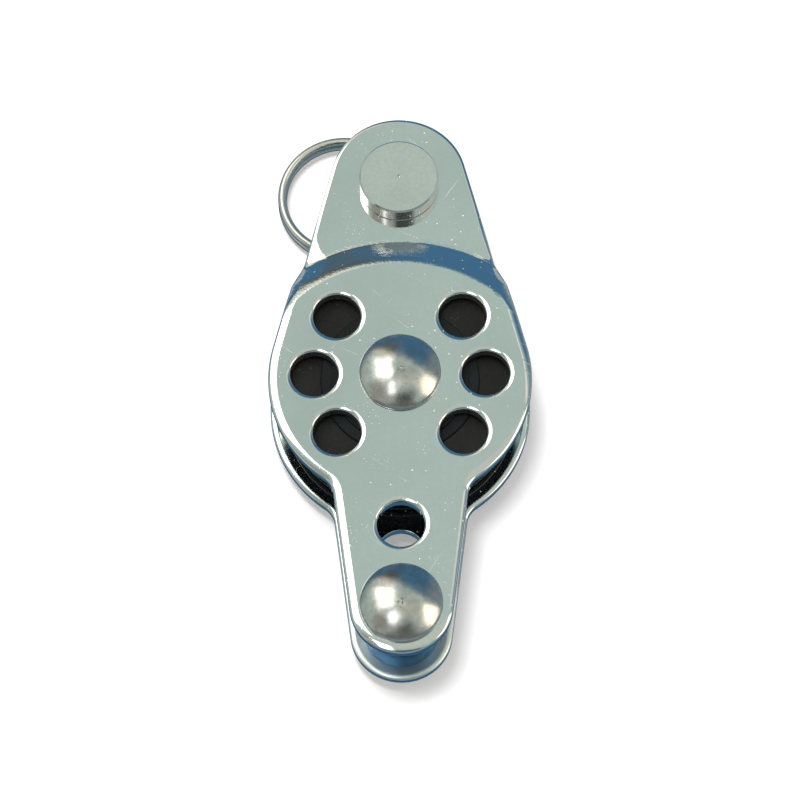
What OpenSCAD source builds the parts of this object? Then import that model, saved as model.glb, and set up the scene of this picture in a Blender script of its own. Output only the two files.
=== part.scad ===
// Single sheave block with a clevis head and a becket.
// Lying flat: +Y points to the head, +Z is the axis of the pins and of the sheave.
// The origin is on the clevis pin axis, half way across the jaw. All sizes are millimetres.

/* [Cheeks] */
// Thickness of each cheek plate
plate_t = 1.5; // [1.2:0.1:2]
// Radius of the round part of the cheek, around the sheave axis
disc_r = 16.15; // [15.6:0.05:18]
// How far the round part's outline is centred below the sheave axis
disc_drop = 0.5; // [0:0.05:1]
// Diameter of the round openings in the cheek
vent_d = 5.8; // [4:0.1:6.4]
// Distance of the two side openings from the sheave axis
side_vent_r = 10.5; // [9.8:0.1:11.5]
// Distance of the four diagonal openings from the sheave axis
diag_vent_r = 10.9; // [9.8:0.1:11.5]
// Rounding at the rims of the openings
rim_round = 0.5; // [0.2:0.05:0.6]

/* [Head] */
// Distance from the clevis pin to the sheave axis
pin_to_hub = 26.25; // [25:0.25:32]
// Radius of the head around the clevis pin
head_r = 8.5; // [7.5:0.1:10]
// How far the head's arc is centred above the clevis pin
head_rise = 0.6; // [0:0.1:1.5]
// Angle between each side of the head and the length of the block
head_angle = 14.7; // [10:0.1:18]
// Gap between the straps, where a tang or an eye goes in
jaw_gap = 5.6; // [4:0.1:7]
// Height of the shoulders above the sheave axis
shoulder_h = 12.3; // [9:0.1:14]
// Length over which the shoulders blend into the straps
shoulder_run = 3.1; // [2:0.1:4]
// Distance from the sheave axis to the start of the bend down to the strap
joggle_start = 15.4; // [15:0.1:16]
// Length of the bend from the round part down to the strap
joggle_run = 2.6; // [1.8:0.1:3]
// How far the centre of the bend's arc lies below the sheave axis
joggle_centre = 4.0; // [2:0.1:5]

/* [Becket arm] */
// Distance from the sheave axis to the opening in the arm
hub_to_arm_hole = 19.75; // [19.5:0.05:21]
// Diameter of the opening in the arm
arm_hole_d = 5.8; // [3:0.1:6.4]
// Distance from the sheave axis to the becket post
hub_to_becket = 30.0; // [29.5:0.1:36]
// Radius of the arm around the becket post
arm_end_r = 6.25; // [5.6:0.05:7.5]
// Angle between each side of the arm and the length of the block
arm_angle = 7.4; // [4:0.1:10]
// Radius of the hollow corner between the round part and the arm
neck_round = 2.8; // [1:0.1:3]

/* [Sheave] */
// Outer radius of the sheave
sheave_r = 14.5; // [14:0.1:15]
// Width of the sheave across its rims
sheave_w = 7.0; // [6.6:0.1:9]
// Radius of the line groove in section
groove_r = 2.75; // [2:0.05:3]
// Depth of the line groove
groove_depth = 2.85; // [2:0.05:3]
// Chamfer at the edges of the rims
rim_chamfer = 0.3; // [0.1:0.05:0.4]

/* [Bearing] */
// Outer radius of the inner race
race_r = 5.2; // [4.6:0.1:5.3]
// Diameter of each ball
ball_d = 2.5; // [2:0.1:2.5]
// Gap between the two rows of balls
row_gap = 0.7; // [0.5:0.1:0.8]
// Radius of the caps that close the bearing
cap_r = 9.75; // [9:0.05:10.5]
// Height of the caps above the sides of the sheave
cap_proud = 0.3; // [0.2:0.05:0.6]
// Thickness of the side washers
washer_t = 0.25; // [0.2:0.05:0.5]
// Outer radius of the side washers
washer_r = 8.4; // [7:0.1:9]

/* [Rivets] */
// Diameter of the axle rivet
axle_d = 6.0; // [5:0.1:7]
// Diameter of the becket rivet
becket_rivet_d = 5.0; // [4:0.1:6]
// Outer diameter of the becket post
post_d = 9.2; // [8:0.1:10]
// Diameter of the rivet heads
rivet_head_d = 10.0; // [9:0.1:11]
// Height of the straight rim of a rivet head
rivet_rim_h = 0.5; // [0.2:0.05:1]
// Height of the domed top of a rivet head
rivet_dome_h = 1.5; // [1:0.05:2.5]
// Diameter of the small dimple in a rivet head
dimple_d = 1.1; // [0.6:0.1:1.6]

/* [Clevis pin] */
// Diameter of the clevis pin
pin_d = 6.35; // [5:0.05:8]
// Diameter of its head
pin_head_d = 9.9; // [9:0.1:13]
// Height of its head
pin_head_h = 2.3; // [1.5:0.05:3]
// Metal between the strap and the cross hole
pin_land = 0.4; // [0.3:0.05:1]
// Metal beyond the cross hole
pin_end = 0.75; // [0.6:0.05:1.5]

/* [Split ring] */
// Wire diameter of the split ring
wire_d = 1.1; // [0.8:0.05:1.3]
// Mean radius of the split ring
ring_r = 7.9; // [7:0.1:9]
// Slit between the two turns of the ring
turn_gap = 0.12; // [0.1:0.01:0.3]
// Direction in which the ring lies, from the pin
ring_heading = 157; // [120:1:170]

/* [Fits] */
// Play of the clevis pin in the straps
pin_fit = 0.075; // [0.05:0.005:0.1]
// Play of the rivets in the cheeks, the race and the post
rivet_fit = 0.03; // [0.02:0.01:0.1]
// Play of the balls on each side
ball_play = 0.05; // [0.03:0.01:0.1]
// Gap between neighbouring balls in a row
ball_gap = 0.2; // [0.1:0.05:0.4]
// Play on each side of a side washer
washer_play = 0.075; // [0.05:0.005:0.15]
// Gap under the head of the clevis pin
seat_gap = 0.05; // [0.03:0.01:0.1]
// Play of the ring in the cross hole
ring_fit = 0.1; // [0.05:0.01:0.2]

/* [Hidden] */
$fn = 96;
big = 100;
cut = 0.05;
// Slight overlap that lets two round faces cross instead of only touching
blend = 0.004;

hub = [0, -pin_to_hub];
becket = [0, -pin_to_hub - hub_to_becket];
arm_hole = [0, -pin_to_hub - hub_to_arm_hole];

// Levels across the block, from the mid plane outwards
cap_top = sheave_w / 2 + cap_proud;
washer_in = cap_top + washer_play;
inner_z = washer_in + washer_t + washer_play;
outer_z = inner_z + plate_t;
strap_in = jaw_gap / 2;
strap_out = strap_in + plate_t;

// Outline of a cheek: unit vectors square to its straight sides
head_c = [0, head_rise];
disc_c = hub - [0, disc_drop];
head_n = [cos(head_angle), sin(head_angle)];
arm_n = [cos(arm_angle), -sin(arm_angle)];
function head_side_x(y) = (head_r - (y - head_rise) * head_n[1]) / head_n[0];
function shoulder_x(y) = (disc_r - (y - disc_c[1]) * head_n[1]) / head_n[0];
shoulder_top = hub[1] + shoulder_h;
shoulder_end = shoulder_top + shoulder_run;

// Hollow corner between the round part and the arm
neck_k = arm_end_r + neck_round + (hub_to_becket - disc_drop) * sin(arm_angle);
neck_drop = sqrt(pow(disc_r + neck_round, 2) - neck_k * neck_k);
neck_c = disc_c + neck_k * arm_n - neck_drop * [sin(arm_angle), cos(arm_angle)];
neck_on_disc = disc_c + (neck_c - disc_c) * disc_r / (disc_r + neck_round);
neck_on_arm = neck_c - neck_round * arm_n;
arm_tangent = becket + arm_end_r * arm_n;

// Bend from the round part to the strap
joggle_h = outer_z - strap_out;
bend_shift = plate_t * tan(atan2(joggle_h, joggle_run) / 2);
bend_c = hub - [0, joggle_centre];
crest_r = joggle_start + joggle_centre;
foot_r = crest_r + joggle_run;

// Bearing
pitch_r = race_r + ball_play + ball_d / 2;
bore_r = race_r + 2 * ball_play + ball_d;
ball_z = row_gap / 2 + ball_d / 2;
cap_in = row_gap / 2 + ball_d + 2 * ball_play;
ball_count = floor(180 / asin((ball_d + ball_gap) / 2 / pitch_r));

// Clevis pin and ring
turn_pitch = wire_d + turn_gap;
pin_r = pin_d / 2;
ring_sag = ring_r - sqrt(ring_r * ring_r - pin_r * pin_r);
cross_r = sqrt(pow(ring_sag / 2, 2) + pow(turn_pitch / 2, 2)) + wire_d / 2 + ring_fit;
cross_z = -(strap_out + pin_land + cross_r);
pin_bottom = cross_z - cross_r - pin_end;
ring_reach = ring_r - ring_sag / 2;
step_from = 215;
step_angle = 26;
end_gap = 6;

// Corners of the right side, from the head down to the arm
side_points = [
    head_c + head_r * head_n,
    [head_side_x(shoulder_end), shoulder_end],
    [shoulder_x(shoulder_top), shoulder_top],
    disc_c + disc_r * head_n,
    neck_on_disc,
    neck_c,
    neck_on_arm,
    arm_tangent
];
last_side = len(side_points) - 1;

module round_blank(at, r) {
    translate([at[0], at[1], strap_in - 1]) cylinder(r = r, h = outer_z - strap_in + 2);
}

module cheek_blank() {
    difference() {
        union() {
            translate([0, 0, strap_in - 1]) linear_extrude(outer_z - strap_in + 2)
                polygon([
                    for (p = side_points) p,
                    for (i = [last_side : -1 : 0]) [-side_points[i][0], side_points[i][1]]
                ]);
            round_blank(head_c, head_r);
            round_blank(disc_c, disc_r);
            round_blank(becket, arm_end_r);
        }
        for (x = [neck_c[0], -neck_c[0]])
            translate([x, neck_c[1], 0]) cylinder(r = neck_round + blend, h = outer_z + 2);
    }
}

// Plate that is flat over the sheave and bends down to the strap at the head
module cheek_levels() {
    translate([-big / 2, hub[1] - big, inner_z]) cube([big, big, plate_t]);
    intersection() {
        translate([bend_c[0], bend_c[1], 0]) rotate_extrude()
            polygon([
                [0, outer_z], [crest_r, outer_z], [foot_r, strap_out], [big, strap_out],
                [big, strap_in], [foot_r - bend_shift, strap_in],
                [crest_r - bend_shift, inner_z], [0, inner_z]
            ]);
        translate([-big / 2, hub[1], 0]) cube([big, big, big]);
    }
}

// Cutter for an opening with rounded rims, through the flat part of the plate
module vent_cutter(r) {
    translate([0, 0, inner_z - cut]) cylinder(r = r, h = plate_t + 2 * cut);
    rotate_extrude() {
        difference() {
            translate([r - cut, outer_z - rim_round])
                square([rim_round + cut, rim_round + cut]);
            translate([r + rim_round, outer_z - rim_round]) circle(r = rim_round);
        }
        difference() {
            translate([r - cut, inner_z - cut])
                square([rim_round + cut, rim_round + cut]);
            translate([r + rim_round, inner_z + rim_round]) circle(r = rim_round);
        }
    }
}

module plain_bore(at, r) {
    translate([at[0], at[1], 0]) cylinder(r = r, h = outer_z + 1);
}

module cheek() {
    difference() {
        intersection() {
            cheek_blank();
            cheek_levels();
        }
        translate([hub[0], hub[1], 0]) {
            for (a = [0, 180])
                rotate(a) translate([side_vent_r, 0, 0]) vent_cutter(vent_d / 2);
            for (a = [45, 135, 225, 315])
                rotate(a) translate([diag_vent_r, 0, 0]) vent_cutter(vent_d / 2);
        }
        translate([arm_hole[0], arm_hole[1], 0]) vent_cutter(arm_hole_d / 2);
        plain_bore([0, 0], pin_r + pin_fit);
        plain_bore(hub, axle_d / 2 + rivet_fit);
        plain_bore(becket, becket_rivet_d / 2 + rivet_fit);
    }
}

module front_cheek() {
    color("LightSteelBlue") cheek();
}

module rear_cheek() {
    color("LightSteelBlue") mirror([0, 0, 1]) cheek();
}

// Straight rim with a shallow spherical top, standing on the face at height outer_z
module rivet_head() {
    r = rivet_head_d / 2;
    dome_r = (r * r + rivet_dome_h * rivet_dome_h) / (2 * rivet_dome_h);
    top = rivet_rim_h + rivet_dome_h;
    translate([0, 0, outer_z]) difference() {
        rotate_extrude() {
            square([r, rivet_rim_h]);
            intersection() {
                translate([0, top - dome_r]) circle(r = dome_r, $fn = 360);
                translate([0, rivet_rim_h - cut]) square([r, rivet_dome_h + 2 * cut]);
            }
        }
        translate([0, 0, top - dimple_d * 0.25])
            cylinder(h = dimple_d * 0.5, r1 = dimple_d * 0.2, r2 = dimple_d * 0.75);
    }
}

module rivet(at, d) {
    translate([at[0], at[1], 0]) {
        translate([0, 0, -outer_z - cut]) cylinder(d = d, h = 2 * outer_z + 2 * cut);
        rivet_head();
        mirror([0, 0, 1]) rivet_head();
    }
}

module axle_rivet() {
    color("Silver") rivet(hub, axle_d);
}

module becket_rivet() {
    color("Silver") rivet(becket, becket_rivet_d);
}

// Tube between the cheeks with a low rib that keeps the two rows apart
module inner_race() {
    color("Gainsboro") translate([hub[0], hub[1], 0]) difference() {
        union() {
            translate([0, 0, -inner_z]) cylinder(r = race_r, h = 2 * inner_z);
            translate([0, 0, ball_play * 2 - row_gap / 2])
                cylinder(r = race_r + ball_d * 0.28, h = row_gap - 4 * ball_play);
        }
        translate([0, 0, -inner_z - cut])
            cylinder(r = axle_d / 2 + rivet_fit, h = 2 * inner_z + 2 * cut);
    }
}

module ball_row(z) {
    translate([hub[0], hub[1], z])
        for (i = [0 : ball_count - 1])
            rotate(i * 360 / ball_count) translate([pitch_r, 0, 0]) sphere(d = ball_d);
}

module front_ball_row() {
    color("Ivory") ball_row(ball_z);
}

module rear_ball_row() {
    color("Ivory") ball_row(-ball_z);
}

module sheave() {
    groove_c = sheave_r - groove_depth + groove_r;
    half = sheave_w / 2;
    color("DimGray") translate([hub[0], hub[1], 0]) rotate_extrude() difference() {
        polygon([
            [bore_r, -half], [sheave_r - rim_chamfer, -half], [sheave_r, rim_chamfer - half],
            [sheave_r, half - rim_chamfer], [sheave_r - rim_chamfer, half], [bore_r, half]
        ]);
        translate([groove_c, 0]) circle(r = groove_r);
        translate([bore_r - cut, cap_in]) square([cap_r + rivet_fit - bore_r + cut, half]);
        translate([bore_r - cut, -cap_in - half]) square([cap_r + rivet_fit - bore_r + cut, half]);
    }
}

// Ring that closes the ball track, let into the side of the sheave
module race_cap() {
    color("SlateGray") translate([hub[0], hub[1], cap_in]) difference() {
        rotate_extrude() polygon([
            [race_r + 2 * ball_play, 0], [cap_r, 0], [cap_r, cap_top - cap_in - 0.12],
            [cap_r - 0.12, cap_top - cap_in], [race_r + 2 * ball_play, cap_top - cap_in]
        ]);
    }
}

module front_race_cap() {
    race_cap();
}

module rear_race_cap() {
    mirror([0, 0, 1]) race_cap();
}

module side_washer() {
    color("WhiteSmoke") translate([hub[0], hub[1], washer_in]) difference() {
        cylinder(r = washer_r, h = washer_t);
        translate([0, 0, -cut]) cylinder(r = race_r + ball_play, h = washer_t + 2 * cut);
    }
}

module front_side_washer() {
    side_washer();
}

module rear_side_washer() {
    mirror([0, 0, 1]) side_washer();
}

module becket_post() {
    color("SteelBlue") translate([becket[0], becket[1], -inner_z]) difference() {
        cylinder(d = post_d, h = 2 * inner_z);
        translate([0, 0, -cut])
            cylinder(r = becket_rivet_d / 2 + rivet_fit, h = 2 * inner_z + 2 * cut);
    }
}

module clevis_pin() {
    head_z = strap_out + seat_gap;
    top = head_z + pin_head_h;
    r = pin_head_d / 2;
    color("Silver") difference() {
        rotate_extrude() polygon([
            [0, pin_bottom], [pin_r - 0.5, pin_bottom], [pin_r, pin_bottom + 0.5],
            [pin_r, head_z], [r - 0.12, head_z], [r, head_z + 0.12],
            [r, top - 0.2], [r - 0.2, top], [0, top]
        ]);
        translate([0, 0, cross_z]) rotate([0, 90, ring_heading - 90])
            cylinder(r = cross_r, h = 4 * pin_r, center = true);
        translate([0, 0, top - 0.15]) cylinder(h = 0.3, r1 = 0.1, r2 = 0.4);
    }
}

// Point on the ring's centre line, in the upper or the lower turn
function ring_point(a, z) = [ring_r * cos(a), ring_r * sin(a), z];

module wire_between(p, q) {
    d = q - p;
    translate(p) sphere(d = wire_d + 0.04);
    translate(q) sphere(d = wire_d + 0.04);
    translate(p) rotate([0, acos(d[2] / norm(d)), atan2(d[1], d[0])])
        cylinder(d = wire_d, h = norm(d));
}

module wire_turn(from, to, z) {
    translate([0, 0, z]) rotate(from) rotate_extrude(angle = to - from)
        translate([ring_r, 0]) circle(d = wire_d);
}

// One unbroken wire with square ends: an upper turn, a step down, and a lower turn
module split_ring() {
    up = turn_pitch / 2;
    step_at = 360 - step_angle;
    color("Silver") translate([0, 0, cross_z])
        rotate(ring_heading) translate([ring_reach, 0, 0]) rotate(step_from) {
            wire_turn(end_gap, step_at, up);
            wire_between(ring_point(step_at, up), ring_point(0, -up));
            wire_turn(0, step_at - end_gap, -up);
        }
}

front_cheek();
rear_cheek();
axle_rivet();
inner_race();
front_ball_row();
rear_ball_row();
sheave();
front_race_cap();
rear_race_cap();
front_side_washer();
rear_side_washer();
becket_rivet();
becket_post();
clevis_pin();
split_ring();
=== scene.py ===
import math
import random
import bpy
import bmesh
from mathutils import Vector, Matrix
from mathutils.geometry import delaunay_2d_cdt


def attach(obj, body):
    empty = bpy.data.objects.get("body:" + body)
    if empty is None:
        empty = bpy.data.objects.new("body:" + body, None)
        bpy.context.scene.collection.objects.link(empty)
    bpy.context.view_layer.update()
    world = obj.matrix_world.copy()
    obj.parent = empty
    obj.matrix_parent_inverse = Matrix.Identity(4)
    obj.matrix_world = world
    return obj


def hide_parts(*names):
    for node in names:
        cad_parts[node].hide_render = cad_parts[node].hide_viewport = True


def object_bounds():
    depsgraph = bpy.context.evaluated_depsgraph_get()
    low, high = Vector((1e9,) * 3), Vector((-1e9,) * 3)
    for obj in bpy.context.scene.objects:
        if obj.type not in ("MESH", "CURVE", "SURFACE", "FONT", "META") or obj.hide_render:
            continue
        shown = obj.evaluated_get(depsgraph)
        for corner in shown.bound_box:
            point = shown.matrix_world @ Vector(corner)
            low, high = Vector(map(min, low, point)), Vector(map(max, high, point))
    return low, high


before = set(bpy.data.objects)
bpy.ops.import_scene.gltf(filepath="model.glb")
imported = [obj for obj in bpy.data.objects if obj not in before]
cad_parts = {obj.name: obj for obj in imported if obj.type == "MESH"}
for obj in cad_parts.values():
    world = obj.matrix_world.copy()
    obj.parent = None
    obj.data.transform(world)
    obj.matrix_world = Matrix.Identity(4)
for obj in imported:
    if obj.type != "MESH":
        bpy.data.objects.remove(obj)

CAD_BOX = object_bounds()
MM = 0.001

# Sizes of the solids, in millimetres and radians, with the clevis pin's axis at the origin
HUB_Y = -26.25
BECKET_Y = -56.25
ARM_HOLE_Y = HUB_Y - 19.75
DISC_R = 16.15
DISC_Y = HUB_Y - 0.5
HEAD_R = 8.5
HEAD_RISE = 0.6
HEAD_A = math.radians(14.7)
SHOULDER_H = 12.3
SHOULDER_RUN = 3.1
SHOULDER_FILLET = 1.8
STRAP_FILLET = 2.2
NECK_R = 2.8
END_R = 6.25
ARM_A = math.radians(7.4)
OUTER_Z = 5.7
INNER_Z = 4.2
STRAP_OUT = 4.3
STRAP_IN = 2.8
SHEET_T = 1.5
BEND_DEPTH = 1.4
BEND_RUN = 2.6
VENT_R = 2.9
VENT_SIDE = 10.5
VENT_DIAGONAL = 10.9
AXLE_R = 3.0
BECKET_SHANK_R = 2.5
RIVET_PLAY = 0.03
PIN_R = 3.175
PIN_HOLE_R = 3.25
RIVET_HEAD_R = 5.0
RIVET_RIM = 0.5
RIVET_DOME = 1.5
POST_R = 4.6
WIRE = 1.1
WIRE_PITCH = 1.22
WIRE_R = 7.9
WIRE_PLAY = 0.1
RING_GAP = 0.4
RING_HEADING = math.radians(157)
RING_START = math.radians(215)
RING_STEP = math.radians(26)
RING_END = math.radians(6)

# Shape of the bend as it is seen, in millimetres
BEND_Y = HUB_Y - 4.0
CREST_R = 19.15
FOOT_R = 22.3
INNER_SHIFT = SHEET_T * math.tan(math.atan2(BEND_DEPTH, BEND_RUN) / 2)
OUTER_SOFT = (0.8, 0.3)
INNER_SOFT = (0.2, 0.4)
CREASE = 0.022
CREASE_PAST_FOOT = 0.22
CREASE_WIDTH = 0.16
DROOP = 0.13
DROOP_SOFT = 0.2
DROOP_INSET = 0.6
DROOP_START_Y = -2.5
DROOP_WIDER_Y = -6.0
DROOP_END_Y = -14.0
STRAP_EDGE_CUT = 0.62
STRAP_EDGE_Y = -15.0

# Small forms of the rivet heads, in millimetres: the foot as (distance in, height over the plate),
# and pits as (x, y, radius, depth)
RIVET_FOOT = ((0.12, 0.005), (0.03, 0.05), (0.0, 0.14))
RIVET_SHOULDER = 0.12
RIVET_DOME_INSET = 0.16
RIVET_WAVES_FROM = 0.45
HUB_PITS = [(-0.05, -0.12, 0.34, 0.03), (0.22, 0.05, 0.2, 0.015)]
BECKET_PITS = [(0.0, -0.62, 0.4, 0.03), (-0.3, -0.72, 0.22, 0.02), (0.28, -0.68, 0.2, 0.015)]
REAR_PITS = [(0.1, -0.1, 0.55, 0.12)]

# Mesh steps, in millimetres
OUTLINE_STEP = 0.32
HOLE_POINTS = 72
GRID_X = (-16.0, 16.0)
GRID_Y = (-62.0, 8.6)
BEND_GRID_Y = (-16.5, -7.0)
BEND_GRID = 0.22
FLAT_GRID = 1.3
WELD = 1e-7


# Helpers
def new_object(name, verts, faces, normals=None):
    """A smooth mesh object from points in millimetres."""
    me = bpy.data.meshes.new(name)
    me.from_pydata([tuple(c * MM for c in v) for v in verts], [], faces)
    me.update()
    for p in me.polygons:
        p.use_smooth = True
    if normals is not None:
        me.normals_split_custom_set_from_vertices([Vector(n).normalized() for n in normals])
    ob = bpy.data.objects.new(name, me)
    bpy.context.scene.collection.objects.link(ob)
    return ob


def sharp_edges(ob, degrees):
    """Marks the edges that are sharper than the angle."""
    limit = math.radians(degrees)
    bm = bmesh.new()
    bm.from_mesh(ob.data)
    for e in bm.edges:
        if len(e.link_faces) == 2:
            e.smooth = e.calc_face_angle(0.0) < limit
    bm.to_mesh(ob.data)
    bm.free()


def ease(t):
    """Runs smoothly from 0 to 1 as t does."""
    return t * t * (3 - 2 * t)


def clamp(value, lo, hi):
    return max(lo, min(hi, value))


def signed_area(pts):
    """Twice the area inside a closed loop, positive where the loop runs counterclockwise."""
    return sum(a[0] * b[1] - b[0] * a[1] for a, b in zip(pts, pts[1:] + pts[:1]))


def arc(cx, cy, r, a0, a1, n):
    """Points on an arc, both ends included."""
    return [(cx + r * math.cos(a0 + (a1 - a0) * i / n), cy + r * math.sin(a0 + (a1 - a0) * i / n))
            for i in range(n + 1)]


def corner_angle(u, v):
    """Half the angle between two unit vectors."""
    return math.acos(clamp(u.dot(v), -1.0, 1.0)) / 2


def corner_arc(p, u, v, cut, n):
    """The arc that rounds a corner at p, whose sides leave along u and v and are cut back."""
    half = corner_angle(u, v)
    r = cut * math.tan(half)
    c = p + (u + v).normalized() * (r / math.sin(half))
    s, e = p + u * cut - c, p + v * cut - c
    a0, a1 = math.atan2(s.y, s.x), math.atan2(e.y, e.x)
    while a1 - a0 > math.pi:
        a1 -= 2 * math.pi
    while a1 - a0 < -math.pi:
        a1 += 2 * math.pi
    return arc(c.x, c.y, r, a0, a1, n)


def fillet(pts, index, r, n):
    """Rounds one corner of an open list of points and returns the new list."""
    p, a, b = Vector(pts[index]), Vector(pts[index - 1]), Vector(pts[index + 1])
    u, v = (a - p).normalized(), (b - p).normalized()
    cut = min(r / math.tan(corner_angle(u, v)), (a - p).length * 0.49, (b - p).length * 0.49)
    return pts[:index] + corner_arc(p, u, v, cut, n) + pts[index + 1:]


def rounded_profile(points, r):
    """A closed profile with every corner rounded by r, apart from the nearly straight ones."""
    out = []
    count = len(points)
    for i in range(count):
        p, a, b = Vector(points[i]), Vector(points[i - 1]), Vector(points[(i + 1) % count])
        u, v = (a - p), (b - p)
        fitting = min(r, u.length * 0.45, v.length * 0.45)
        u.normalize()
        v.normalize()
        half = corner_angle(u, v)
        if half > math.radians(84):
            out.append(tuple(p))
        else:
            out += corner_arc(p, u, v, min(fitting / math.tan(half), fitting * 2), 5)
    return out


def resample(loop, step):
    """Evenly spaced points on a closed loop."""
    pts = [Vector(p) for p in loop]
    total = sum((pts[(i + 1) % len(pts)] - pts[i]).length for i in range(len(pts)))
    n = max(12, int(total / step))
    out, k, gone = [], 0, 0.0
    seg = (pts[1] - pts[0]).length
    for i in range(n):
        want = total * i / n
        while gone + seg < want - 1e-12:
            gone += seg
            k += 1
            seg = (pts[(k + 1) % len(pts)] - pts[k % len(pts)]).length
        t = (want - gone) / seg if seg > 1e-12 else 0.0
        out.append(pts[k % len(pts)].lerp(pts[(k + 1) % len(pts)], t))
    return out


def loop_normals(loop):
    """Unit vectors that point into the material, for a loop whose material is on its left."""
    out = []
    n = len(loop)
    for i in range(n):
        t = (loop[(i + 1) % n] - loop[i - 1]).normalized()
        out.append(Vector((-t.y, t.x)))
    return out


# Outline of a cheek
def head_x(y):
    """Half width of the head at a height, along its straight side."""
    return (HEAD_R - (y - HEAD_RISE) * math.sin(HEAD_A)) / math.cos(HEAD_A)


def shoulder_x(y):
    """Half width of the shoulder at a height, along the tangent that leaves the round part."""
    return (DISC_R - (y - DISC_Y) * math.sin(HEAD_A)) / math.cos(HEAD_A)


def cheek_outline():
    """Closed outline, counterclockwise, with the same corners as the solid."""
    arm_nx, arm_ny = math.cos(ARM_A), -math.sin(ARM_A)
    shoulder_y = HUB_Y + SHOULDER_H
    strap_y = shoulder_y + SHOULDER_RUN
    # centre of the hollow corner between the arm and the round part
    off = END_R + NECK_R + (DISC_Y - BECKET_Y) * math.sin(ARM_A)
    drop = math.sqrt((DISC_R + NECK_R) ** 2 - off * off)
    neck_x = off * arm_nx - drop * math.sin(ARM_A)
    neck_y = DISC_Y + off * arm_ny - drop * math.cos(ARM_A)
    to_hub = Vector((-neck_x, DISC_Y - neck_y))
    a_disc = math.atan2(to_hub.y, to_hub.x)
    a_arm = math.atan2(-arm_ny, -arm_nx)
    while a_disc > a_arm:
        a_disc -= 2 * math.pi
    if a_arm - a_disc > math.pi:
        a_disc += 2 * math.pi
    start = math.atan2(neck_y - DISC_Y, neck_x)
    right = arc(0, BECKET_Y, END_R, -math.pi / 2, -ARM_A, 40)
    right += arc(neck_x, neck_y, NECK_R, a_arm, a_disc, 14)
    right += arc(0, DISC_Y, DISC_R, start, HEAD_A, 70)[1:]
    corner = len(right)
    right.append((shoulder_x(shoulder_y), shoulder_y))
    right.append((head_x(strap_y), strap_y))
    right += arc(0, HEAD_RISE, HEAD_R, HEAD_A, math.pi / 2, 40)
    right = fillet(right, corner + 1, STRAP_FILLET, 12)
    right = fillet(right, corner, SHOULDER_FILLET, 12)
    left = [(-x, y) for x, y in reversed(right)]
    return right[:-1] + left[:-1]


# Faces of a cheek
def soft_corner(t, w):
    """Zero below 0 and t above it, rounded within w of 0."""
    if t <= -w:
        return 0.0
    if t >= w:
        return t
    return (t + w) ** 2 / (4 * w)


def bend_height(d, crest, foot, soft):
    """Height over the strap, from the full step before the crest down to 0 past the foot."""
    h = OUTER_Z - STRAP_OUT
    run = foot - crest
    down = soft_corner(d - crest, soft[0]) - soft_corner(d - foot, soft[1])
    crease = CREASE * math.exp(-((d - foot - CREASE_PAST_FOOT) / CREASE_WIDTH) ** 2)
    return h * (1.0 - down / run) + crease


def edge_droop(x, y):
    """The strap's sides hang down a little beside the bend, from the pressing."""
    if y > DROOP_START_Y or y < DROOP_END_Y:
        return 0.0
    wide = clamp((DROOP_WIDER_Y - y) / 4.0, 0.0, 1.05)
    t = abs(x) - (head_x(y) - DROOP_INSET - 2.0 * wide * wide)
    if t <= 0:
        return 0.0
    rise = min(1.0, (DROOP_START_Y - y) / 5.0)
    fade = min(1.0, (y - DROOP_END_Y) / 3.0)
    return DROOP * (math.hypot(t, DROOP_SOFT) - DROOP_SOFT) * ease(rise) * ease(fade)


def top_z(x, y):
    """Height of the front cheek's outer face."""
    if y < HUB_Y:
        return OUTER_Z
    d = math.hypot(x, y - BEND_Y)
    return STRAP_OUT + bend_height(d, CREST_R, FOOT_R, OUTER_SOFT) - edge_droop(x, y)


def bottom_z(x, y):
    """Height of the front cheek's inner face."""
    if y < HUB_Y:
        return INNER_Z
    d = math.hypot(x, y - BEND_Y)
    height = bend_height(d, CREST_R - INNER_SHIFT, FOOT_R - INNER_SHIFT, INNER_SOFT)
    return STRAP_IN + height - edge_droop(x, y)


SIDES = {"bottom": (bottom_z, -1.0), "top": (top_z, 1.0)}


def face_normal(fn, x, y, up):
    """Unit normal of a face at a point, turned up or down."""
    e = 0.01
    gx = (fn(x + e, y) - fn(x - e, y)) / (2 * e)
    gy = (fn(x, y + e) - fn(x, y - e)) / (2 * e)
    return Vector((-gx * up, -gy * up, up)).normalized()


def edge_rows(parts):
    """Steps over an edge as (distance in, depth, tilt), from arcs as (length, two tilts, count)."""
    rows, h, v = [(0.0, 0.0, 0.0)], 0.0, 0.0
    for length, t0, t1, count in parts:
        for i in range(count):
            mid = math.radians(t0 + (t1 - t0) * (i + 0.5) / count)
            h += length / count * math.cos(mid)
            v += length / count * math.sin(mid)
            rows.append((h, v, math.radians(t0 + (t1 - t0) * (i + 1) / count)))
    return [(rows[-1][0] - h, v, t) for h, v, t in rows]


OUTER_EDGE = edge_rows([(0.20, 0, 6, 3), (0.80, 6, 20, 6), (0.10, 20, 30, 1), (0.34, 30, 90, 5)])
INNER_EDGE = edge_rows([(0.14, 0, 6, 1), (0.42, 6, 20, 3), (0.08, 20, 30, 1), (0.24, 30, 90, 3)])
VENT_EDGE = edge_rows([(0.10, 0, 6, 1), (0.40, 6, 20, 4), (0.06, 20, 30, 1), (0.32, 30, 90, 4)])
VENT_IN = edge_rows([(0.16, 0, 90, 3)])
PIN_EDGE = edge_rows([(0.2, 0, 90, 4)])
RIVET_EDGE = edge_rows([(0.09, 0, 90, 2)])


def strap_edge(y):
    """The strap's outer edge is rounded less than the round part's."""
    return 1.0 - STRAP_EDGE_CUT * ease(clamp((y - STRAP_EDGE_Y) / 5.0, 0.0, 1.0))


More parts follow.
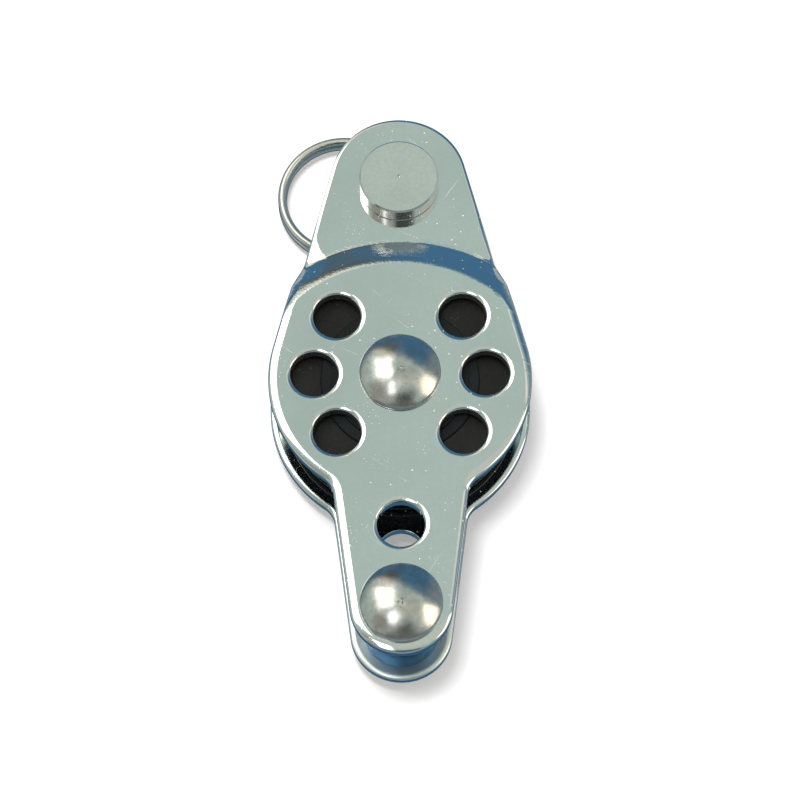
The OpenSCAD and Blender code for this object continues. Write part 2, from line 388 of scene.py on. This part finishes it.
def cheek_holes():
    """Every hole as (centre, radius, its edge on the outer face, its edge on the inner face)."""
    vents = [(0, VENT_SIDE), (180, VENT_SIDE)] + [(a, VENT_DIAGONAL) for a in (45, 135, 225, 315)]
    holes = []
    for degrees, r in vents:
        a = math.radians(degrees)
        holes.append(((r * math.cos(a), HUB_Y + r * math.sin(a)), VENT_R, VENT_EDGE, VENT_IN))
    holes.append(((0.0, ARM_HOLE_Y), VENT_R, VENT_EDGE, VENT_IN))
    holes.append(((0.0, HUB_Y), AXLE_R + RIVET_PLAY, RIVET_EDGE, RIVET_EDGE))
    holes.append(((0.0, BECKET_Y), BECKET_SHANK_R + RIVET_PLAY, RIVET_EDGE, RIVET_EDGE))
    holes.append(((0.0, 0.0), PIN_HOLE_R, PIN_EDGE, PIN_EDGE))
    return holes


def grid_points():
    """A fine grid where the plate bends and a coarse one elsewhere, each shifted off the middle line."""
    pts = []
    y = GRID_Y[0]
    while y < GRID_Y[1]:
        in_bend = BEND_GRID_Y[0] < y < BEND_GRID_Y[1]
        step, shift = (BEND_GRID, 0.03) if in_bend else (FLAT_GRID, 0.11)
        x = GRID_X[0]
        while x < GRID_X[1]:
            pts.append(Vector((x + shift, y)))
            x += step
        y += step
    return pts


def in_plate(px, py, outer, holes):
    """Whether a point is inside the outer loop and outside every (centre, radius) hole."""
    for (hx, hy), hr in holes:
        if math.hypot(px - hx, py - hy) < hr:
            return False
    hit = False
    for a, b in zip(outer, outer[-1:] + outer[:-1]):
        if (a.y > py) != (b.y > py) and px < (b.x - a.x) * (py - a.y) / (b.y - a.y) + a.x:
            hit = not hit
    return hit


class Plate:
    """The mesh of one cheek, built as the front one."""

    def __init__(self):
        self.verts, self.norms, self.faces = [], [], []
        self.rims = {side: [] for side in SIDES}

    def add(self, x, y, z, normal):
        self.verts.append((x, y, z))
        self.norms.append(normal)
        return len(self.verts) - 1

    def edge(self, pts, top_edge, in_edge):
        """Walks over the thickness of the plate along one loop, from the inner to the outer face."""
        ins = loop_normals(pts)
        rows = []
        for side, (fn, up) in SIDES.items():
            steps = in_edge if side == "bottom" else reversed(top_edge)
            for inset, sink, tilt in steps:
                row = []
                for p, n in zip(pts, ins):
                    k = strap_edge(p.y) if top_edge is OUTER_EDGE else 1.0
                    q = p + n * inset * k
                    nz = face_normal(fn, q.x, q.y, up)
                    nn = Vector((-n.x, -n.y, 0)) * math.sin(tilt) + nz * math.cos(tilt)
                    row.append(self.add(q.x, q.y, fn(q.x, q.y) - up * sink * k, nn.normalized()))
                rows.append(row)
                if tilt == 0.0:
                    self.rims[side].append(row)
        for a, b in zip(rows, rows[1:]):
            for i in range(len(a)):
                j = (i + 1) % len(a)
                self.faces.append((a[i], a[j], b[j], b[i]))

    def flat(self, side, holes):
        """Fills one face between its rims. The first rim is the outer one."""
        fn, up = SIDES[side]
        rims = self.rims[side]
        pts, index, edges = [], [], []
        for row in rims:
            first = len(pts)
            for i, v in enumerate(row):
                pts.append(Vector(self.verts[v][:2]))
                index.append(v)
                edges.append((first + i, first + (i + 1) % len(row)))
        outer = pts[:len(rims[0])]
        grid = grid_points()
        out_v, _, out_f, orig, _, _ = delaunay_2d_cdt(pts + grid, edges, [], 0, 1e-5)
        index += [None] * len(grid)
        ids = {}
        for k in range(len(out_v)):
            known = [index[o] for o in orig[k] if index[o] is not None]
            if known:
                ids[k] = known[0]
        for f in out_f:
            corners = [out_v[i] for i in f]
            cx = sum(c.x for c in corners) / len(f)
            cy = sum(c.y for c in corners) / len(f)
            if not in_plate(cx, cy, outer, holes):
                continue
            for i, c in zip(f, corners):
                if i not in ids:
                    ids[i] = self.add(c.x, c.y, fn(c.x, c.y), face_normal(fn, c.x, c.y, up))
            face = [ids[i] for i in f]
            if (signed_area(corners) > 0) != (side == "top"):
                face.reverse()
            self.faces.append(tuple(face))


def make_cheek(name, mirrored):
    holes = cheek_holes()
    plate = Plate()
    plate.edge(resample(cheek_outline(), OUTLINE_STEP), OUTER_EDGE, INNER_EDGE)
    for (cx, cy), r, top_edge, in_edge in holes:
        turns = [-2 * math.pi * i / HOLE_POINTS for i in range(HOLE_POINTS)]
        pts = [Vector((cx + r * math.cos(a), cy + r * math.sin(a))) for a in turns]
        plate.edge(pts, top_edge, in_edge)
    plate.flat("top", [(centre, r + top_edge[0][0]) for centre, r, top_edge, _ in holes])
    plate.flat("bottom", [(centre, r + in_edge[0][0]) for centre, r, _, in_edge in holes])
    if not mirrored:
        return new_object(name, plate.verts, plate.faces, plate.norms)
    return new_object(name, [(x, y, -z) for x, y, z in plate.verts],
                      [tuple(reversed(f)) for f in plate.faces],
                      [Vector((n.x, n.y, -n.z)) for n in plate.norms])


# Rivets, sheave, post and ring
def rivet_profile(shank_r):
    """Half profile from the mid plane up: shank, underside, rounded rim and dome."""
    r = RIVET_HEAD_R
    big = (r * r + RIVET_DOME * RIVET_DOME) / (2 * RIVET_DOME)
    top = OUTER_Z + RIVET_RIM + RIVET_DOME
    cz = top - big
    pts = [(shank_r, 0.0), (shank_r, OUTER_Z + RIVET_FOOT[0][1])]
    pts += [(r - inset, OUTER_Z + rise) for inset, rise in RIVET_FOOT]
    pts.append((r, OUTER_Z + RIVET_RIM - RIVET_SHOULDER))
    a_end = math.asin((r - RIVET_DOME_INSET) / big)
    n = 46
    for i in range(n + 1):
        a = a_end * (1 - i / n)
        pts.append((big * math.sin(a) if i < n else 0.0, cz + big * math.cos(a)))
    return pts


def dome_wobble(seed, pits):
    """Height changes over a rivet head: low seeded waves, and pits."""
    rng = random.Random(seed)
    waves = [(rng.uniform(0.3, 1.1), rng.randint(2, 7), rng.uniform(0, 6.28), rng.uniform(0.002, 0.006))
             for _ in range(7)]

    def height(r, a, z):
        if z < OUTER_Z + RIVET_WAVES_FROM:
            return 0.0
        x, y = r * math.cos(a), r * math.sin(a)
        d = sum(depth * math.sin(pace * r + phase) * math.cos(count * a + phase)
                for pace, count, phase, depth in waves)
        d *= min(1.0, r / 2.5) ** 2
        for px, py, pr, depth in pits:
            q = math.hypot(x - px, y - py) / pr
            if q < 1:
                d -= depth * (1 - q * q) ** 2
        return d
    return height


def half_rivet(name, profile, y, up, wobble):
    """Turns half a rivet from its (radius, z) profile, which ends on the axis."""
    seg = 144
    verts, rings = [], []
    for r, z in profile:
        if r < 1e-6:
            rings.append([len(verts)])
            verts.append((0, y, z * up))
            continue
        rings.append(list(range(len(verts), len(verts) + seg)))
        for i in range(seg):
            a = 2 * math.pi * i / seg
            verts.append((r * math.cos(a), y + r * math.sin(a), (z + wobble(r, a, z)) * up))
    faces = []
    for a, b in zip(rings, rings[1:]):
        for i in range(seg):
            j = (i + 1) % seg
            f = (a[i], a[j], b[0]) if len(b) == 1 else (a[i], a[j], b[j], b[i])
            faces.append(f if up > 0 else tuple(reversed(f)))
    return new_object(name, verts, faces)


def make_rivet(name, y, shank_r, seed, pits):
    profile = rivet_profile(shank_r)
    front = half_rivet(name, profile, y, 1.0, dome_wobble(seed, pits))
    back = half_rivet(name + "_b", profile, y, -1.0, dome_wobble(seed + 1, REAR_PITS))
    bm = bmesh.new()
    bm.from_mesh(front.data)
    bm.from_mesh(back.data)
    bmesh.ops.remove_doubles(bm, verts=bm.verts, dist=WELD)
    bm.to_mesh(front.data)
    bm.free()
    bpy.data.objects.remove(back)
    for p in front.data.polygons:
        p.use_smooth = True
    sharp_edges(front, 50)
    return front


def turned_ring(name, profile, y, seg):
    """A ring about a vertical axis from a closed (radius, z) profile."""
    count = len(profile)
    if signed_area(profile) < 0:
        profile = list(reversed(profile))
    verts, faces = [], []
    for i in range(seg):
        a = 2 * math.pi * i / seg
        for r, z in profile:
            verts.append((r * math.cos(a), y + r * math.sin(a), z))
    for i in range(seg):
        k = (i + 1) % seg
        for j in range(count):
            m = (j + 1) % count
            faces.append((i * count + j, k * count + j, k * count + m, i * count + m))
    ob = new_object(name, verts, faces)
    sharp_edges(ob, 32)
    return ob


def make_sheave():
    half, r_out, chamfer = 3.5, 14.5, 0.3
    groove_c, groove_r = 14.4, 2.75
    bore, seat_r, seat_z = 7.8, 9.78, 2.95
    edge_a = math.acos((r_out - groove_c) / groove_r)
    lip = groove_r * math.sin(edge_a)
    pts = [(bore, -seat_z), (seat_r, -seat_z), (seat_r, -half), (r_out - chamfer, -half),
           (r_out, -half + chamfer), (r_out, -lip)]
    n = 26
    for i in range(1, n):
        t = -1 + 2 * i / n
        a = math.pi - t * (math.pi - edge_a)
        pts.append((groove_c + groove_r * math.cos(a), groove_r * math.sin(a) if t != 0 else 0.0))
    pts += [(r_out, lip), (r_out, half - chamfer), (r_out - chamfer, half), (seat_r, half),
            (seat_r, seat_z), (bore, seat_z)]
    return turned_ring("sheave_turned", pts, HUB_Y, 220)


def make_post():
    bore, end = BECKET_SHANK_R + RIVET_PLAY, INNER_Z - 0.002
    profile = rounded_profile([(bore, -end), (POST_R, -end), (POST_R, end), (bore, end)], 0.12)
    return turned_ring("becket_post_tube", profile, BECKET_Y, 160)


def ring_path():
    """The split ring's (angle, height) points: a turn, a step down, and a second turn."""
    half = WIRE_PITCH / 2
    turn_n, step_n = 200, 24
    a0, a1 = RING_END, 2 * math.pi - RING_STEP
    b0, b1 = 2 * math.pi, 4 * math.pi - RING_STEP - RING_END
    path = [(a0 + (a1 - a0) * i / turn_n, half) for i in range(turn_n + 1)]
    for t in (i / step_n for i in range(1, step_n)):
        path.append((a1 + RING_STEP * t, half - WIRE_PITCH * ease(t)))
    return path + [(b0 + (b1 - b0) * i / turn_n, -half) for i in range(turn_n + 1)]


def make_split_ring():
    sides = 24
    sag = WIRE_R - math.sqrt(WIRE_R * WIRE_R - PIN_R ** 2)
    cross_r = math.hypot(sag / 2, WIRE_PITCH / 2) + WIRE / 2 + WIRE_PLAY
    reach = WIRE_R - sag / 2
    first = RING_HEADING + RING_START
    c = Vector((reach * math.cos(RING_HEADING), reach * math.sin(RING_HEADING),
                -(STRAP_OUT + RING_GAP + cross_r)))
    pts = [Vector((c.x + WIRE_R * math.cos(first + a), c.y + WIRE_R * math.sin(first + a), c.z + z))
           for a, z in ring_path()]
    verts, faces = [], []
    for i, p in enumerate(pts):
        along = (pts[min(i + 1, len(pts) - 1)] - pts[max(i - 1, 0)]).normalized()
        out = Vector((p.x - c.x, p.y - c.y, 0)).normalized()
        out = (out - along * out.dot(along)).normalized()
        up = along.cross(out)
        for k in range(sides):
            a = 2 * math.pi * k / sides
            verts.append(tuple(p + (out * math.cos(a) + up * math.sin(a)) * (WIRE / 2)))
    for i in range(len(pts) - 1):
        for k in range(sides):
            m = (k + 1) % sides
            faces.append((i * sides + k, i * sides + m, (i + 1) * sides + m, (i + 1) * sides + k))
    faces.append(tuple(reversed(range(sides))))
    last = (len(pts) - 1) * sides
    faces.append(tuple(last + k for k in range(sides)))
    ob = new_object("split_ring_wire", verts, faces)
    bm = bmesh.new()
    bm.from_mesh(ob.data)
    bmesh.ops.recalc_face_normals(bm, faces=bm.faces)
    bm.to_mesh(ob.data)
    bm.free()
    sharp_edges(ob, 50)
    return ob


# Node trees
class Tree:
    """Short calls for the nodes that the materials and the surroundings share."""

    def __init__(self, tree):
        self.tree = tree

    def node(self, kind, **values):
        n = self.tree.nodes.new("ShaderNode" + kind)
        for name, value in values.items():
            n.inputs[name.replace("_", " ")].default_value = value
        return n

    def put(self, value, socket):
        """Links a node's output to a socket, or sets the socket to a number or a colour."""
        if isinstance(value, bpy.types.NodeSocket):
            self.tree.links.new(value, socket)
        elif isinstance(value, tuple):
            socket.default_value = (*value, 1.0)
        else:
            socket.default_value = value

    def remap(self, value, a, b, c=0.0, d=1.0, smooth=False):
        """Takes a to b over to c to d, and stops at both ends."""
        n = self.node("MapRange", From_Min=a, From_Max=b, To_Min=c, To_Max=d)
        if smooth:
            n.interpolation_type = "SMOOTHSTEP"
        self.put(value, n.inputs["Value"])
        return n.outputs["Result"]

    def math(self, op, *values):
        n = self.node("Math")
        n.operation = op
        for i, v in enumerate(values):
            self.put(v, n.inputs[i])
        return n.outputs[0]

    def mix(self, fac, a, b):
        n = self.node("Mix")
        n.data_type = "RGBA"
        for i, v in ((0, fac), (6, a), (7, b)):
            self.put(v, n.inputs[i])
        return n.outputs[2]

    def axes(self, vec):
        n = self.node("SeparateXYZ")
        self.put(vec, n.inputs[0])
        return n.outputs


class Nodes(Tree):
    """A material. Its texture scales are per metre and its bump distances in metres."""

    def __init__(self, name, **values):
        self.mat = bpy.data.materials.new(name)
        self.mat.use_nodes = True
        super().__init__(self.mat.node_tree)
        self.bsdf = self.tree.nodes["Principled BSDF"]
        for key, value in values.items():
            self.put(value, self.bsdf.inputs[key.replace("_", " ")])
        outputs = self.node("TexCoord").outputs
        self.coord = outputs["Object"]
        self.facing = outputs["Normal"]

    def mapping(self, scale, rot=(0, 0, 0), loc=(0, 0, 0), vec=None):
        n = self.node("Mapping", Scale=scale, Rotation=rot, Location=loc)
        self.put(self.coord if vec is None else vec, n.inputs["Vector"])
        return n.outputs["Vector"]

    def noise(self, scale, detail, rough=0.55, vec=None):
        n = self.node("TexNoise", Scale=scale, Detail=detail, Roughness=rough)
        self.put(self.coord if vec is None else vec, n.inputs["Vector"])
        return n.outputs["Fac"]

    def voronoi(self, scale, flat=False):
        """Distance to the nearest of a cloud of points, or of upright lines where it is flat."""
        n = self.node("TexVoronoi", Scale=scale)
        n.feature = "F1"
        if flat:
            n.voronoi_dimensions = "2D"
        self.put(self.coord, n.inputs["Vector"])
        return n.outputs["Distance"]

    def axis_distance(self, y):
        """Distance in metres from the upright axis through (0, y)."""
        n = self.node("VectorMath")
        n.operation = "LENGTH"
        self.put(self.mapping((1, 1, 0), loc=(0, -y * MM, 0)), n.inputs[0])
        return n.outputs["Value"]

    def finish(self, color, rough):
        self.put(color, self.bsdf.inputs["Base Color"])
        self.put(rough, self.bsdf.inputs["Roughness"])

    def bump(self, height, strength, distance):
        n = self.node("Bump", Strength=strength, Distance=distance)
        self.put(height, n.inputs["Height"])
        normal = self.bsdf.inputs["Normal"]
        if normal.is_linked:
            self.put(normal.links[0].from_socket, n.inputs["Normal"])
        self.put(n.outputs["Normal"], normal)


# Materials
ARM_END_Y = (-49.5, -52.5)
ARM_END_DULL = 0.26


def speck_marks(m):
    """Dust and small nicks in two sizes, and hairline scratches in three directions."""
    spots = m.math("MULTIPLY", m.remap(m.voronoi(430.0, flat=True), 0.050, 0.028),
                   m.remap(m.noise(120.0, 3.0), 0.48, 0.62))
    tiny = m.math("MULTIPLY", m.remap(m.voronoi(1250.0, flat=True), 0.075, 0.040),
                  m.remap(m.noise(260.0, 2.0), 0.46, 0.66))
    marks = m.math("MAXIMUM", spots, m.math("MULTIPLY", tiny, 0.5))
    for turn, fine in ((0.6, 90.0), (-0.9, 130.0), (2.0, 70.0)):
        turned = m.mapping((1, 1, 1), (0, 0, turn))
        streak = m.noise(1.0, 2.0, 0.5, m.mapping((3200.0, fine, 60.0), vec=turned))
        marks = m.math("MAXIMUM", marks, m.remap(streak, 0.71, 0.77, 0.0, 0.40))
    return marks


def inner_arm_end(m):
    """One on the arms' inner faces round the post, where the finish is duller."""
    # an inner face looks towards the mid plane, so its height and its facing have opposite signs
    height = m.math("MULTIPLY", m.axes(m.coord)["Z"], m.axes(m.facing)["Z"])
    return m.math("MULTIPLY", m.remap(height, -0.0010, -0.0020),
                  m.remap(m.axes(m.coord)["Y"], ARM_END_Y[0] * MM, ARM_END_Y[1] * MM))


def bend_band(m):
    """One on the bend, which the pressing leaves a little rough."""
    r = m.axis_distance(BEND_Y)
    band = m.math("MULTIPLY", m.remap(r, (CREST_R - 0.9) * MM, CREST_R * MM),
                  m.remap(r, (FOOT_R + 0.7) * MM, FOOT_R * MM))
    return m.math("MULTIPLY", band, m.remap(m.axes(m.coord)["Y"], -20.0 * MM, -18.0 * MM))


def polished_steel(name, tint, rough_lo, rough_hi, edge=(1.0, 1.0, 1.0), wave=0.02, cheek=False):
    m = Nodes(name, Metallic=1.0, Specular_Tint=edge)
    broad = m.noise(70.0, 3.0)
    col = m.mix(m.remap(broad, 0.35, 0.65), tuple(c * 0.93 for c in tint), tint)
    col = m.mix(m.remap(m.noise(1500.0, 2.0, 0.7), 0.35, 0.65, 0.0, 0.10), col, (0.55, 0.58, 0.57))
    rough = m.remap(broad, 0.3, 0.7, rough_lo, rough_hi)
    if cheek:
        marks = speck_marks(m)
        col = m.mix(marks, col, (0.93, 0.94, 0.92))
        rough = m.math("MAXIMUM", rough, m.math("MULTIPLY", marks, 0.75))
        rough = m.math("ADD", rough, m.math("MULTIPLY", inner_arm_end(m), ARM_END_DULL))
        m.bump(marks, 0.25, 0.00004)
    m.finish(col, rough)
    m.bump(m.noise(180.0, 2.0), wave, 0.0004)
    m.bump(m.noise(2600.0, 4.0, 0.7), 0.02, 0.00002)
    if cheek:
        m.bump(m.math("MULTIPLY", bend_band(m), m.noise(1900.0, 3.0, 0.65)), 0.5, 0.00006)
    return m.mat


def satin_steel(name, tint):
    m = Nodes(name, Metallic=1.0)
    broad = m.noise(330.0, 3.0, 0.6)
    stain = m.noise(800.0, 4.0, 0.7)
    col = m.mix(m.remap(stain, 0.35, 0.7), tint, tuple(c * 0.72 for c in tint))
    col = m.mix(m.remap(m.voronoi(900.0), 0.12, 0.05, 0.0, 0.35), col, (0.2, 0.19, 0.17))
    # brown traces of the rivet tool round the middle of each head
    grit = m.remap(m.noise(2600.0, 3.0, 0.7), 0.53, 0.60, 0.0, 0.75)
    for y in (HUB_Y - 0.15, BECKET_Y - 0.65):
        near = m.remap(m.axis_distance(y), 0.9 * MM, 0.3 * MM)
        col = m.mix(m.math("MULTIPLY", near, grit), col, (0.10, 0.085, 0.05))
    m.finish(col, m.remap(broad, 0.3, 0.7, 0.16, 0.25))
    m.bump(broad, 0.10, 0.0002)
    m.bump(m.noise(5200.0, 3.0, 0.8), 0.12, 0.00003)
    return m.mat


def turned_steel(name, tint):
    """Polished steel with the faint rings that a lathe leaves round the clevis pin's axis."""
    m = Nodes(name, Metallic=1.0)
    line = m.node("CombineXYZ")
    m.put(m.math("MULTIPLY", m.axis_distance(0.0), 9000.0), line.inputs[0])
    rings = m.noise(1.0, 3.0, 0.7, line.outputs[0])
    broad = m.noise(150.0, 3.0)
    col = m.mix(m.remap(broad, 0.35, 0.65), tuple(c * 0.94 for c in tint), tint)
    spots = m.remap(m.voronoi(900.0, flat=True), 0.07, 0.03)
    col = m.mix(m.math("MULTIPLY", spots, 0.5), col, (0.92, 0.92, 0.9))
    col = m.mix(m.remap(m.noise(2200.0, 3.0, 0.7), 0.35, 0.65, 0.0, 0.22), col, (0.58, 0.58, 0.55))
    m.finish(col, m.remap(broad, 0.3, 0.7, 0.10, 0.18))
    m.bump(rings, 0.10, 0.00002)
    return m.mat


def black_anodised(name, lo, hi):
    m = Nodes(name, Metallic=0.35, Specular_IOR_Level=0.4)
    grain = m.noise(3200.0, 4.0, 0.7)
    dust = m.math("MULTIPLY", m.remap(m.voronoi(1500.0), 0.14, 0.07),
                  m.remap(m.noise(300.0, 2.0), 0.5, 0.6))
    col = m.mix(m.remap(m.noise(160.0, 3.0), 0.35, 0.7), lo, hi)
    col = m.mix(m.math("MULTIPLY", dust, 0.25), col, (0.3, 0.28, 0.25))
    m.finish(col, m.remap(grain, 0.3, 0.7, 0.42, 0.6))
    m.bump(grain, 0.15, 0.00003)
    return m.mat


def moulded(name, lo, hi, rough_lo, rough_hi, shine=0.5):
    m = Nodes(name, Specular_IOR_Level=shine)
    grain = m.noise(3600.0, 3.0, 0.7)
    col = m.mix(m.remap(m.noise(260.0, 3.0), 0.35, 0.7), lo, hi)
    m.finish(col, m.remap(grain, 0.3, 0.7, rough_lo, rough_hi))
    m.bump(grain, 0.12, 0.00003)
    return m.mat


# Building
def use(ob, mat, body, slot, *nodes):
    """Gives a piece its material and body, and shows it in place of nodes of the solids."""
    ob.data.materials.clear()
    ob.data.materials.append(mat)
    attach(ob, body)
    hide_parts(*nodes)


steel = polished_steel("cheek_polish", (0.80, 0.82, 0.80), 0.045, 0.075, cheek=True)
# the post's steel is tinted deep blue all over, with a bluish edge tint: a painted reflection of the
# blue surface that the post mirrors, not the colour of its metal
post_steel = polished_steel("post_painted_reflection", (0.040, 0.110, 0.230), 0.22, 0.30, edge=(0.55, 0.78, 1.0))
ring_steel = polished_steel("wire_polish", (0.86, 0.80, 0.72), 0.22, 0.30, wave=0.03)
pin_steel = turned_steel("pin_turned", (0.87, 0.845, 0.80))
dome_steel = satin_steel("dome_satin", (0.68, 0.67, 0.63))
race_steel = satin_steel("race_ground", (0.6, 0.6, 0.6))
black = black_anodised("sheave_anodised", (0.0055, 0.0052, 0.0048), (0.011, 0.0103, 0.009))
cap_dark = moulded("cap_moulded", (0.003, 0.0045, 0.0048), (0.0055, 0.0075, 0.0078), 0.42, 0.55, 0.22)
washer_dark = moulded("washer_sheet", (0.003, 0.004, 0.004), (0.006, 0.007, 0.007), 0.45, 0.6, 0.2)
ball_white = moulded("ball_acetal", (0.70, 0.68, 0.62), (0.80, 0.78, 0.72), 0.25, 0.35)

use(make_cheek("front_cheek_plate", False), steel, "frame", "cheek_steel", "front_cheek")
use(make_cheek("rear_cheek_plate", True), steel, "frame", "cheek_steel", "rear_cheek")
use(make_rivet("axle_rivet_dome", HUB_Y, AXLE_R, 11, HUB_PITS),
    dome_steel, "frame", "rivet_steel", "axle_rivet")
use(make_rivet("becket_rivet_dome", BECKET_Y, BECKET_SHANK_R, 23, BECKET_PITS),
    dome_steel, "frame", "rivet_steel", "becket_rivet")
use(make_sheave(), black, "sheave", "sheave_black", "sheave")
use(make_split_ring(), ring_steel, "ring", "ring_steel", "split_ring")
use(make_post(), post_steel, "frame", "post_steel", "becket_post")

KEPT_NODES = {
    "inner_race": race_steel,
    "front_ball_row": ball_white,
    "rear_ball_row": ball_white,
    "front_race_cap": cap_dark,
    "rear_race_cap": cap_dark,
    "front_side_washer": washer_dark,
    "rear_side_washer": washer_dark,
    "clevis_pin": pin_steel,
}
for node, mat in KEPT_NODES.items():
    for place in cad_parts[node].material_slots:
        place.material = mat

# Floor
FLOOR_HALF = 900.0
FLOOR_Z = CAD_BOX[0][2] / MM - 0.02
square = [(x * FLOOR_HALF * MM, y * FLOOR_HALF * MM, FLOOR_Z * MM)
          for x, y in ((-1, -1), (1, -1), (1, 1), (-1, 1))]
floor_mesh = bpy.data.meshes.new("floor")
floor_mesh.from_pydata(square, [], [(0, 1, 2, 3)])
floor = bpy.data.objects.new("floor", floor_mesh)
bpy.context.scene.collection.objects.link(floor)
white = Nodes("floor_white", Specular_IOR_Level=0.15)
white.finish(white.mix(white.noise(9.0, 2.0), (0.90, 0.90, 0.90), (0.92, 0.92, 0.92)), 0.85)
floor.data.materials.append(white.mat)
floor.visible_glossy = False

# Surroundings
# colours and windows that the steel mirrors, placed by their direction
BLUE = (0.062, 0.172, 0.300)
DEEP = (0.040, 0.118, 0.200)
BROWN = (0.105, 0.113, 0.100)
CREAM = (1.00, 0.97, 0.86)
GREY = (0.485, 0.590, 0.550)
WARM = (0.600, 0.620, 0.560)
SOFT = (0.360, 0.360, 0.330)
DARK = (0.055, 0.060, 0.055)
DUN = (0.160, 0.150, 0.130)
SLATE = (0.230, 0.290, 0.330)
PALE = (0.420, 0.470, 0.480)
STEEL = (0.220, 0.290, 0.335)
# as (x range, y range, softness, light)
WINDOWS = (((0.56, 0.84), (-0.30, 0.19), 0.035, (2.6, 2.4, 1.95)),
           ((-0.30, -0.12), (-0.31, -0.04), 0.04, (3.8, 4.0, 4.0)),
           ((-0.58, -0.20), (0.11, 0.62), 0.03, (3.0, 2.95, 2.7)))

world = bpy.data.worlds.new("studio")
bpy.context.scene.world = world
world.use_nodes = True
world.node_tree.nodes.clear()
w = Tree(world.node_tree)
background = w.node("Background", Strength=1.0)
w.put(background.outputs[0], w.node("OutputWorld").inputs[0])
X, Y, Z = (w.axes(w.node("TexCoord").outputs["Generated"])[axis] for axis in "XYZ")


def ramp(value, a, b):
    """Runs smoothly from 0 at a to 1 at b."""
    return w.remap(value, a, b, smooth=True)


def both(a, b):
    return w.math("MULTIPLY", a, b)


def span(value, lo, hi, soft):
    """One between lo and hi, fading to zero over the soft width."""
    return both(ramp(value, lo - soft, lo + soft), ramp(value, hi + soft, hi - soft))


def patch(x, y, soft):
    """A soft-edged window of directions above the horizon."""
    return both(both(span(X, *x, soft), span(Y, *y, soft)), ramp(Z, 0.02, 0.10))


# the bright sky's far edge runs lower on the right and higher on the left
far = w.math("ADD", Y, both(w.math("MAXIMUM", X, 0.0), 0.58))
far = w.math("ADD", far, both(w.math("MINIMUM", X, 0.0), 0.25))
# the low surface behind the head is blue, with a brown part high on the left
low = w.mix(ramp(X, 0.05, -0.20), BLUE, BROWN)
low = w.mix(ramp(Z, 0.42, 0.20), low, BLUE)
# the sky overhead, and its cream far edge
sky = w.mix(patch((-0.72, -0.10), (-0.45, -0.02), 0.06), GREY, SOFT)
sky = w.mix(patch((-0.10, 0.60), (-0.14, 0.20), 0.05), sky, WARM)
sky = w.mix(both(ramp(far, 0.58, 0.63), ramp(X, 0.02, -0.10)), sky, CREAM)
sky = w.mix(both(span(far, 0.585, 0.630, 0.02), ramp(X, 0.10, 0.25)), sky, CREAM)
sky = w.mix(ramp(far, 0.62, 0.80), sky, low)
sky = w.mix(both(ramp(Z, 0.42, 0.30), ramp(Y, -0.05, 0.15)), sky, low)
# the near side, from dark overhead to plain steel grey at the horizon
sky = w.mix(both(span(Y, -0.54, -0.30, 0.05), span(X, -0.10, 0.32, 0.06)), sky, DARK)
sky = w.mix(ramp(Y, -0.50, -0.58), sky, DUN)
sky = w.mix(ramp(Y, -0.64, -0.70), sky, SLATE)
sky = w.mix(ramp(Y, -0.76, -0.84), sky, STEEL)
# plain greys to the right and at both ends
sky = w.mix(ramp(X, 0.48, 0.68), sky, STEEL)
sky = w.mix(ramp(w.math("ABSOLUTE", X), 0.88, 0.94), sky, PALE)
for x_range, y_range, soft, light in WINDOWS:
    sky = w.mix(patch(x_range, y_range, soft), sky, light)
# below the horizon
table = w.mix(ramp(Z, -0.22, -0.45), PALE, BLUE)
table = w.mix(ramp(Z, -0.50, -0.85), table, DEEP)
sky = w.mix(ramp(Z, 0.03, -0.05), sky, table)
# plain soft light for everything that isn't mirrored, and a plain backdrop
path = w.node("LightPath").outputs
matt = w.math("MAXIMUM", path["Is Diffuse Ray"], w.math("GREATER_THAN", path["Diffuse Depth"], 0.5))
sky = w.mix(matt, sky, (0.78, 0.78, 0.78))
sky = w.mix(path["Is Camera Ray"], sky, (1.0, 1.0, 1.0))
w.put(sky, background.inputs["Color"])

# Light
KEY_DIRECTION = Vector((-0.11, 0.06, 0.99)).normalized()
KEY_TARGET = Vector((0, -29, 0))
KEY_DISTANCE = 600
KEY_SIZE = 140
KEY_POWER = 2.6
key_data = bpy.data.lights.new("key", "AREA")
key_data.shape = "RECTANGLE"
key_data.size = key_data.size_y = KEY_SIZE * MM
key_data.energy = KEY_POWER
key_data.color = (1.0, 1.0, 1.0)
key = bpy.data.objects.new("key", key_data)
key.location = (KEY_TARGET + KEY_DIRECTION * KEY_DISTANCE) * MM
key.rotation_euler = (-KEY_DIRECTION).to_track_quat("-Z", "Y").to_euler()
bpy.context.scene.collection.objects.link(key)
key.visible_glossy = False

# Camera
ELEVATION = math.radians(67.0)
ROLL = math.radians(0.34)
DISTANCE = 505.0
TARGET = Vector((-0.02, -29.85, 5.65))
FOCAL_PX = 4140.0
IMAGE_PX = 800.0
SENSOR = 36.0
forward = Vector((0, math.cos(ELEVATION), -math.sin(ELEVATION)))
level_up = Vector((0, math.sin(ELEVATION), math.cos(ELEVATION)))
level_right = Vector((1, 0, 0))
right = level_right * math.cos(ROLL) - level_up * math.sin(ROLL)
up = level_right * math.sin(ROLL) + level_up * math.cos(ROLL)
lens = bpy.data.cameras.new("camera")
lens.sensor_width = SENSOR
lens.lens = FOCAL_PX / IMAGE_PX * SENSOR
lens.clip_start = 0.01
lens.clip_end = 10.0
camera = bpy.data.objects.new("camera", lens)
bpy.context.scene.collection.objects.link(camera)
turn = Matrix((right, up, -forward)).transposed()
camera.matrix_world = Matrix.Translation((TARGET - forward * DISTANCE) * MM) @ turn.to_4x4()
bpy.context.scene.camera = camera
bpy.context.scene.view_settings.view_transform = "Standard"
